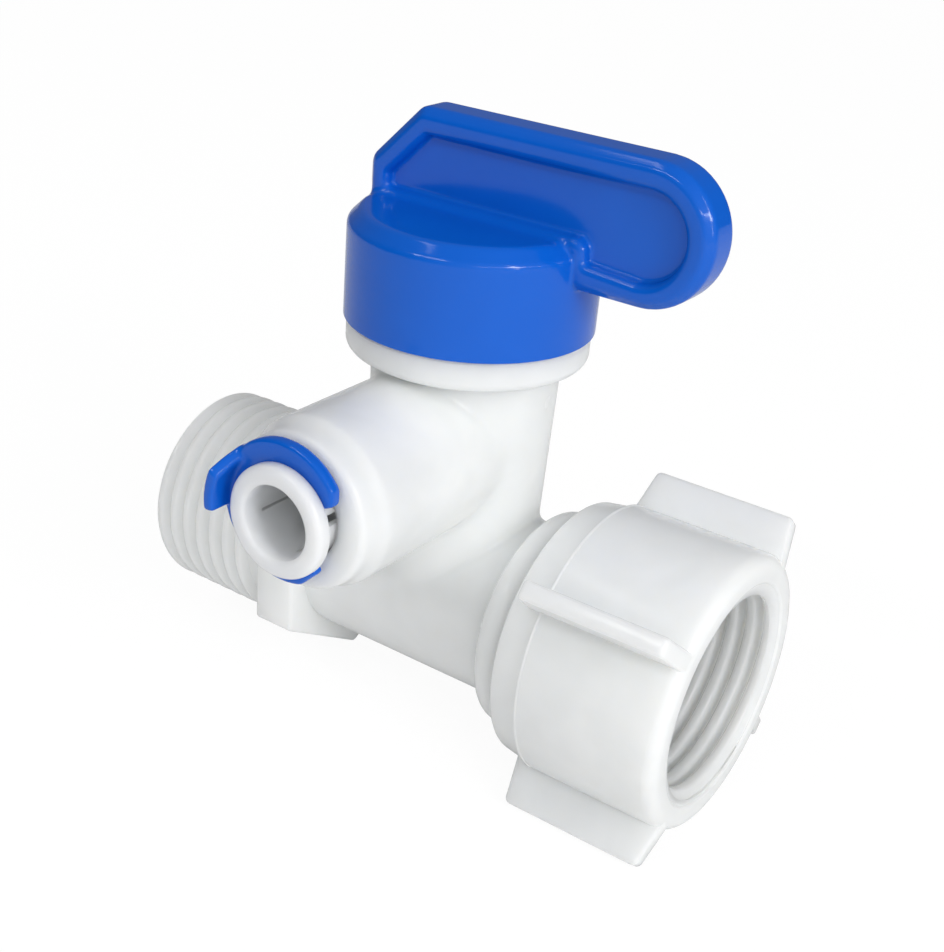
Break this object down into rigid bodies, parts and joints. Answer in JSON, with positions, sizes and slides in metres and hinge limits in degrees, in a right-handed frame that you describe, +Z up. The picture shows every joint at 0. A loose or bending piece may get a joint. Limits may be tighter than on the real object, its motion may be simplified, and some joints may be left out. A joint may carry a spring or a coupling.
{
  "type": "tee ball valve",
  "caption": "Feed-water tee with a male pipe thread, a winged swivel nut, a ball valve with a paddle handle, and a push-fit tube outlet with a locking clip.",
  "frame": {"origin": "where the run axis crosses the stem axis, inside the run's bore", "axes": "+X along the run towards the swivel nut, -Y along the tube outlet, +Z up the stem to the handle"},
  "size_m": [0.0619, 0.041, 0.0592],
  "materials": {
    "body_plastic": "glossy, slightly translucent white",
    "collet_plastic": "glossy, slightly translucent white",
    "blue_plastic": "glossy blue",
    "seat_plastic": "smooth satin white",
    "black_rubber": "satin black",
    "tooth_steel": "thin spring steel"
  },
  "bodies": {
    "valve_body": {"tee_body": "body_plastic", "bonnet": "body_plastic", "bonnet_seal": "black_rubber", "inlet_seat": "seat_plastic", "inlet_seat_seal": "black_rubber", "outlet_seat": "seat_plastic", "outlet_seat_seal": "black_rubber", "thrust_washer": "seat_plastic", "port_cartridge": "body_plastic", "tube_seal": "black_rubber", "seal_spacer": "body_plastic", "nut_ring": "body_plastic", "pipe_washer": "black_rubber"},
    "handle_body": {"handle": "blue_plastic", "stem": "body_plastic", "ball": "seat_plastic", "stem_seal_lower": "black_rubber", "stem_seal_upper": "black_rubber"},
    "nut_body": {"swivel_nut": "body_plastic"},
    "collet_body": {"collet": "collet_plastic", "collet_teeth": "tooth_steel"},
    "clip_body": {"locking_clip": "blue_plastic"}
  },
  "joints": [
    {"name": "handle_turn", "type": "hinge", "parent": "valve_body", "child": "handle_body", "pos_m": [0, 0, 0.0163], "axis": [0, 0, 1], "range_deg": [-90, 0]},
    {"name": "nut_spin", "type": "hinge", "parent": "valve_body", "child": "nut_body", "pos_m": [0.02, 0, 0], "axis": [1, 0, 0], "continuous": true},
    {"name": "collet_turn", "type": "hinge", "parent": "valve_body", "child": "collet_body", "pos_m": [0, -0.02, 0.0163], "axis": [0, -1, 0], "continuous": true},
    {"name": "clip_turn", "type": "hinge", "parent": "valve_body", "child": "clip_body", "pos_m": [0, -0.024, 0.0163], "axis": [0, -1, 0], "continuous": true}
  ]
}
